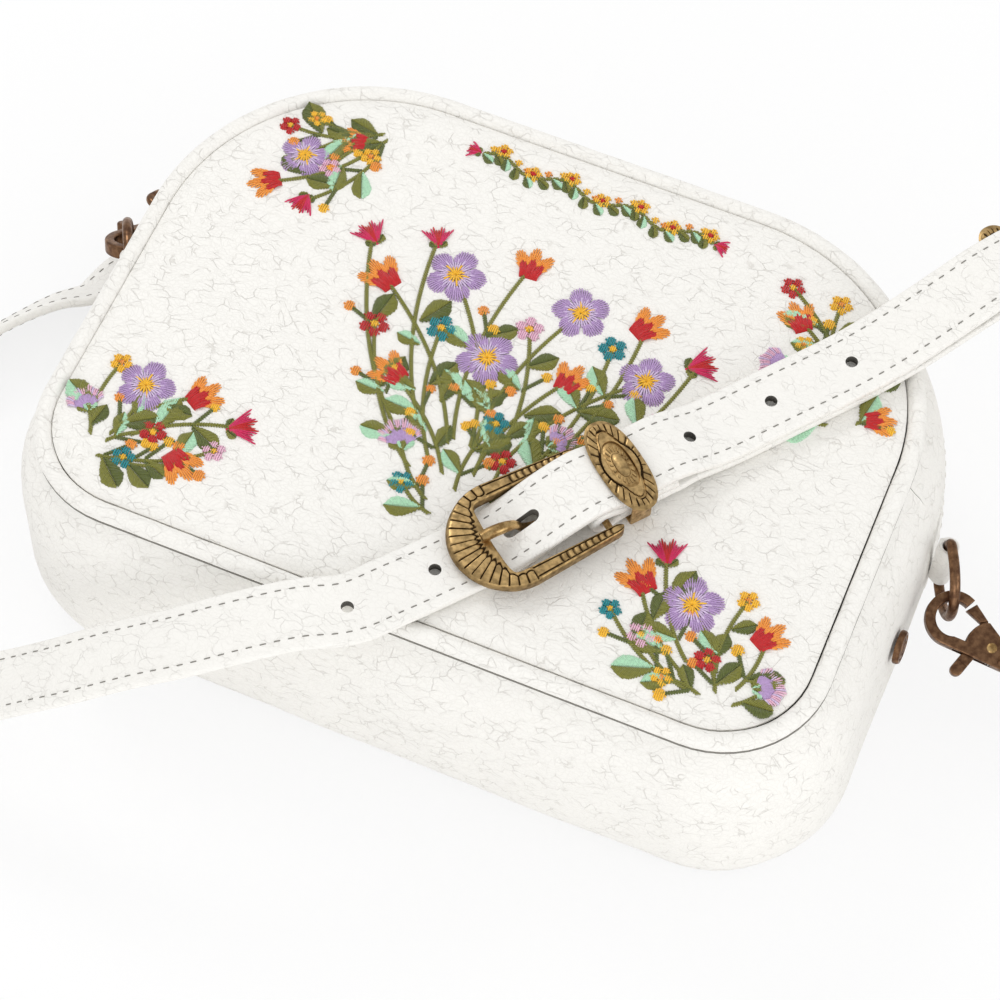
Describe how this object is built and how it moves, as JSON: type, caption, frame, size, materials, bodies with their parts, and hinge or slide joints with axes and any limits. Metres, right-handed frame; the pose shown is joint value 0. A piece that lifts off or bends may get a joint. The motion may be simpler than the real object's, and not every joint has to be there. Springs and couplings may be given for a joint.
{
  "type": "mini camera bag",
  "caption": "Small zipped camera bag of white leather with a buckled strap on swivel clasps, lying on its back.",
  "frame": {"origin": "on the back panel's rest face, under the middle of the front panel", "axes": "+Z out of the front panel, +Y to the zip at the bag's top, +X to the bag's right side"},
  "size_m": [0.4185, 0.2551, 0.0858],
  "materials": {
    "leather": "satin crackle",
    "lining": "matte",
    "zip_tape": "woven",
    "zip_metal": "antique",
    "buckle_brass": "antique",
    "dark_brass": "dark antique",
    "spring_steel": "drawn wire"
  },
  "bodies": {
    "bag": {"front_panel": "leather", "back_panel": "leather", "front_piping": "leather", "back_piping": "leather", "bottom_gusset": "leather", "zip_gusset_front": "leather", "zip_gusset_back": "leather", "zip_tape_front": "zip_tape", "zip_tape_back": "zip_tape", "zip_teeth_front": "zip_metal", "zip_teeth_back": "zip_metal", "zip_stop_closed": "zip_metal", "zip_stop_open": "zip_metal", "lining_front": "lining", "lining_back": "lining", "lining_gusset": "lining", "lining_zip_front": "lining", "lining_zip_back": "lining", "slip_pocket": "lining", "left_ring_tab": "leather", "right_ring_tab": "leather", "left_stud": "dark_brass", "right_stud": "dark_brass", "left_stud_base": "dark_brass", "right_stud_base": "dark_brass", "left_swivel_eye": "dark_brass", "right_swivel_eye": "dark_brass", "long_strap": "leather", "buckle_strap": "leather", "buckle_bar": "buckle_brass"},
    "slider": {"zip_slider": "zip_metal"},
    "pull": {"zip_pull": "zip_metal"},
    "right_ring": {"right_d_ring": "dark_brass"},
    "left_ring": {"left_d_ring": "dark_brass"},
    "right_hook": {"right_hook_body": "dark_brass", "right_gate_pin": "dark_brass", "right_gate_spring": "spring_steel"},
    "left_hook": {"left_hook_body": "dark_brass", "left_gate_pin": "dark_brass", "left_gate_spring": "spring_steel"},
    "right_gate": {"right_hook_gate": "dark_brass"},
    "left_gate": {"left_hook_gate": "dark_brass"},
    "buckle": {"buckle_frame": "buckle_brass"},
    "prong": {"buckle_prong": "buckle_brass"},
    "inner_keeper": {"keeper_inner": "buckle_brass"},
    "outer_keeper": {"keeper_outer": "buckle_brass"}
  },
  "joints": [
    {"name": "zip_travel", "type": "hinge", "parent": "bag", "child": "slider", "pos_m": [-0.0447, 0.016, 0.03625], "axis": [0, 0, -1], "range_deg": [0, 55]},
    {"name": "pull_swing", "type": "hinge", "parent": "slider", "child": "pull", "pos_m": [-0.11031, 0.04943, 0.03625], "axis": [0, 0, 1], "range_deg": [0, 150]},
    {"name": "right_ring_swing", "type": "hinge", "parent": "bag", "child": "right_ring", "pos_m": [0.12594, 0.0145, 0.03625], "axis": [0, 0, 1], "range_deg": [-5, 2]},
    {"name": "left_ring_swing", "type": "hinge", "parent": "bag", "child": "left_ring", "pos_m": [-0.12041, 0.0145, 0.03025], "axis": [0, 0, 1], "range_deg": [-5, 5]},
    {"name": "right_swivel", "type": "hinge", "parent": "bag", "child": "right_hook", "pos_m": [0.13363, -0.00114, 0.03563], "axis": [0.9431, -0.2794, -0.1805], "range_deg": [-12, 3]},
    {"name": "left_swivel", "type": "hinge", "parent": "bag", "child": "left_hook", "pos_m": [-0.12707, 0.02688, 0.02436], "axis": [0.2209, 0.8535, -0.4719], "range_deg": [-8, 8]},
    {"name": "right_gate_swing", "type": "hinge", "parent": "right_hook", "child": "right_gate", "pos_m": [0.14589, -0.00447, 0.03337], "axis": [0.0999, -0.2799, 0.9548], "range_deg": [0, 24], "stiffness_Nm_per_rad": 0.03, "springref_deg": -17.19},
    {"name": "left_gate_swing", "type": "hinge", "parent": "left_hook", "child": "left_gate", "pos_m": [-0.12393, 0.03786, 0.01836], "axis": [0.2192, -0.515, -0.8287], "range_deg": [0, 14], "stiffness_Nm_per_rad": 0.03, "springref_deg": -17.19},
    {"name": "buckle_lift", "type": "hinge", "parent": "bag", "child": "buckle", "pos_m": [0.0355, -0.02694, 0.0768], "axis": [-0.788, 0.6157, 0], "range_deg": [0, 3]},
    {"name": "prong_lift", "type": "hinge", "parent": "bag", "child": "prong", "pos_m": [0.0355, -0.02694, 0.0768], "axis": [-0.788, 0.6157, 0], "range_deg": [0, 3]},
    {"name": "inner_keeper_slide", "type": "slide", "parent": "bag", "child": "inner_keeper", "axis": [0.6157, 0.788, 0], "range_m": [0, 0.006]},
    {"name": "outer_keeper_slide", "type": "slide", "parent": "bag", "child": "outer_keeper", "axis": [0.6157, 0.788, 0], "range_m": [-0.001, 0.001]}
  ],
  "couplings": [
    {"joint": "prong_lift", "follows": "buckle_lift", "ratio": 1}
  ]
}
